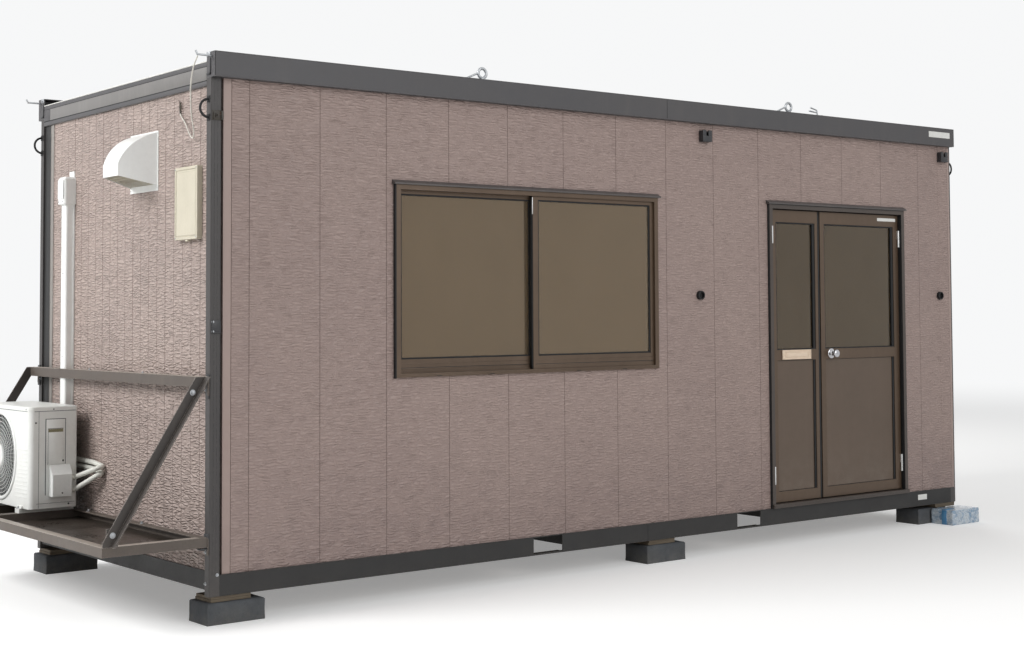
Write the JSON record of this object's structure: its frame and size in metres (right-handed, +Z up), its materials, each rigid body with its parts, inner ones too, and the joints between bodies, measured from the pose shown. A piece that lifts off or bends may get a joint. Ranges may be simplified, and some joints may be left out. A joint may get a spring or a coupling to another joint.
{
  "type": "portable site cabin",
  "caption": "Portable site cabin with embossed metal walls, sliding window, glazed double doors, steel frame and a bracketed outdoor unit, set on concrete blocks",
  "frame": {"origin": "on the ground, below the middle of the whole object's bounding box", "axes": "+X along the front towards the door's end, +Y from the front wall towards the back wall, +Z up"},
  "size_m": [6.171, 2.38, 2.785],
  "materials": {
    "frame_paint": "dark grey paint, weathered",
    "panel": "taupe stone-embossed coated steel",
    "cable_sheath": "grey vinyl sheath",
    "roof_sheet": "grey coated steel",
    "deck": "plain plywood",
    "ceiling": "white coated board",
    "bronze": "bronze anodised",
    "glass": "bronze-tinted clear glass",
    "chrome": "polished",
    "brass": "satin brass",
    "hinge_steel": "satin steel",
    "black_steel": "black paint",
    "black_plastic": "matt black",
    "galvanised": "hot-dip galvanised",
    "rack_paint": "dark brown paint, weathered",
    "unit_paint": "off-white paint",
    "guard_plastic": "off-white moulding",
    "white_plastic": "off-white moulding, dusty",
    "insulation": "off-white foam sleeve",
    "cream_plastic": "cream moulding, yellowed",
    "concrete": "cast concrete",
    "board": "rough sawn board",
    "wrap": "pale blue film over concrete"
  },
  "bodies": {
    "cabin": {"corner_post_front_left": "frame_paint", "corner_post_front_right": "frame_paint", "corner_post_back_left": "frame_paint", "corner_post_back_right": "frame_paint", "floor_beam_front": "frame_paint", "floor_beam_back": "frame_paint", "fork_pocket_plates": "frame_paint", "floor_beam_left": "frame_paint", "floor_beam_right": "frame_paint", "floor_cross_members": "frame_paint", "floor_deck": "deck", "roof_beam_front": "frame_paint", "roof_beam_back": "frame_paint", "roof_beam_left": "frame_paint", "roof_beam_right": "frame_paint", "roof_sheet": "roof_sheet", "ceiling": "ceiling", "front_wall_left": "panel", "front_wall_over_door": "panel", "front_wall_right": "panel", "back_wall": "panel", "left_end_wall": "panel", "right_end_wall": "panel", "window_frame": "bronze", "window_sash_left": "bronze", "window_sash_right": "bronze", "window_glass": "glass", "head_flashings": "bronze", "door_frame": "bronze", "frame_hinges": "hinge_steel", "wall_brackets": "black_steel", "wall_sleeves": "black_plastic", "lifting_eyes": "galvanised", "rope_loops": "rack_paint", "roof_hooks": "galvanised", "service_cable": "cable_sheath", "rack_lower_frame": "rack_paint", "rack_upper_rail": "rack_paint", "rack_braces": "rack_paint", "unit_casing": "unit_paint", "unit_guard": "guard_plastic", "unit_feet": "unit_paint", "unit_valve_cover": "guard_plastic", "unit_pipes": "insulation", "line_cover": "white_plastic", "vent_hood": "white_plastic", "cable_box": "cream_plastic", "concrete_blocks": "concrete", "packers": "board", "wrapped_block": "wrap"},
    "main_door": {"main_leaf": "bronze", "main_leaf_glass": "glass", "door_knobs": "chrome", "main_leaf_hinges": "hinge_steel"},
    "side_door": {"side_leaf": "bronze", "side_leaf_glass": "glass", "letter_plate": "brass", "side_leaf_hinges": "hinge_steel"}
  },
  "joints": [
    {"name": "main_door_hinge", "type": "hinge", "parent": "cabin", "child": "main_door", "pos_m": [2.4825, -1.006, 0.13], "axis": [0, 0, 1], "range_deg": [0, 100]},
    {"name": "side_door_hinge", "type": "hinge", "parent": "cabin", "child": "side_door", "pos_m": [1.2545, -1.006, 0.13], "axis": [0, 0, -1], "range_deg": [0, 100]}
  ]
}
